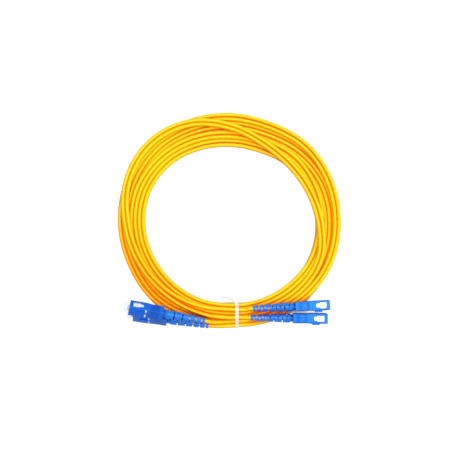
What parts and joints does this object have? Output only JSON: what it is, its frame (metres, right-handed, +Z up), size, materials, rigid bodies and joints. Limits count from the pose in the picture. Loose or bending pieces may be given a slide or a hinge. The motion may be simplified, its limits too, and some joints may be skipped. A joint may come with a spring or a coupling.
{
  "type": "duplex fibre optic patch cord",
  "caption": "Coiled duplex fibre optic patch cord held by a wire tie, with push-pull square plugs, slotted strain-relief boots and sprung ceramic ferrules.",
  "frame": {"origin": "midway among the four plugs in plan, on the surface that the coil lies on", "axes": "+X from the left pair of plugs to the right pair, +Y from the plugs towards the middle of the coil, +Z up"},
  "size_m": [0.1654, 0.1596, 0.0236],
  "materials": {
    "jacket": "satin yellow PVC",
    "tie": "white plastic over a wire",
    "sleeve": "blue moulded plastic",
    "boot": "soft blue elastomer",
    "back_body": "dark blue moulded plastic",
    "frame": "white moulded plastic",
    "ceramic": "polished zirconia",
    "metal": "nickel-plated brass and aluminium",
    "spring_steel": "bare spring wire",
    "cap": "translucent soft plastic"
  },
  "bodies": {
    "root": {"lead_a": "jacket", "lead_b": "jacket", "twist_tie": "tie", "plug_frame_a1": "frame", "spring_a1": "spring_steel", "back_body_a1": "back_body", "crimp_sleeve_a1": "metal", "boot_a1": "boot", "plug_frame_b1": "frame", "spring_b1": "spring_steel", "back_body_b1": "back_body", "crimp_sleeve_b1": "metal", "boot_b1": "boot", "plug_frame_a2": "frame", "spring_a2": "spring_steel", "back_body_a2": "back_body", "crimp_sleeve_a2": "metal", "boot_a2": "boot", "plug_frame_b2": "frame", "spring_b2": "spring_steel", "back_body_b2": "back_body", "crimp_sleeve_b2": "metal", "boot_b2": "boot"},
    "coupling_a1": {"sleeve_a1": "sleeve"},
    "ferrule_a1": {"ferrule_a1": "ceramic", "ferrule_collar_a1": "metal"},
    "coupling_b1": {"sleeve_b1": "sleeve"},
    "ferrule_b1": {"ferrule_b1": "ceramic", "ferrule_collar_b1": "metal"},
    "coupling_a2": {"sleeve_a2": "sleeve"},
    "ferrule_a2": {"ferrule_a2": "ceramic", "ferrule_collar_a2": "metal"},
    "coupling_b2": {"sleeve_b2": "sleeve"},
    "ferrule_b2": {"ferrule_b2": "ceramic", "ferrule_collar_b2": "metal"},
    "cap_a2": {"dust_cap_a2": "cap"},
    "cap_b2": {"dust_cap_b2": "cap"}
  },
  "joints": [
    {"name": "sleeve_pull_a1", "type": "slide", "parent": "root", "child": "coupling_a1", "axis": [-1, 0.0087, 0], "range_m": [0, 0.002]},
    {"name": "ferrule_give_a1", "type": "slide", "parent": "root", "child": "ferrule_a1", "axis": [-1, 0.0087, 0], "range_m": [0, 0.001], "stiffness_N_per_m": 1000, "springref_m": -0.001, "deforming": ["spring_a1"]},
    {"name": "sleeve_pull_b1", "type": "slide", "parent": "root", "child": "coupling_b1", "axis": [-0.9989, -0.0471, 0], "range_m": [0, 0.002]},
    {"name": "ferrule_give_b1", "type": "slide", "parent": "root", "child": "ferrule_b1", "axis": [-0.9989, -0.0471, 0], "range_m": [0, 0.001], "stiffness_N_per_m": 1000, "springref_m": -0.001, "deforming": ["spring_b1"]},
    {"name": "sleeve_pull_a2", "type": "slide", "parent": "root", "child": "coupling_a2", "axis": [0.989, -0.1478, 0], "range_m": [0, 0.002]},
    {"name": "ferrule_give_a2", "type": "slide", "parent": "root", "child": "ferrule_a2", "axis": [0.989, -0.1478, 0], "range_m": [0, 0.001], "stiffness_N_per_m": 1000, "springref_m": -0.001, "deforming": ["spring_a2"]},
    {"name": "sleeve_pull_b2", "type": "slide", "parent": "root", "child": "coupling_b2", "axis": [0.9721, -0.189, -0.1392], "range_m": [0, 0.002]},
    {"name": "ferrule_give_b2", "type": "slide", "parent": "root", "child": "ferrule_b2", "axis": [0.9721, -0.189, -0.1392], "range_m": [0, 0.001], "stiffness_N_per_m": 1000, "springref_m": -0.001, "deforming": ["spring_b2"]},
    {"name": "cap_off_a2", "type": "slide", "parent": "ferrule_a2", "child": "cap_a2", "axis": [-0.989, 0.1478, 0], "range_m": [0, 0.012]},
    {"name": "cap_off_b2", "type": "slide", "parent": "ferrule_b2", "child": "cap_b2", "axis": [-0.9721, 0.189, 0.1392], "range_m": [0, 0.012]}
  ]
}
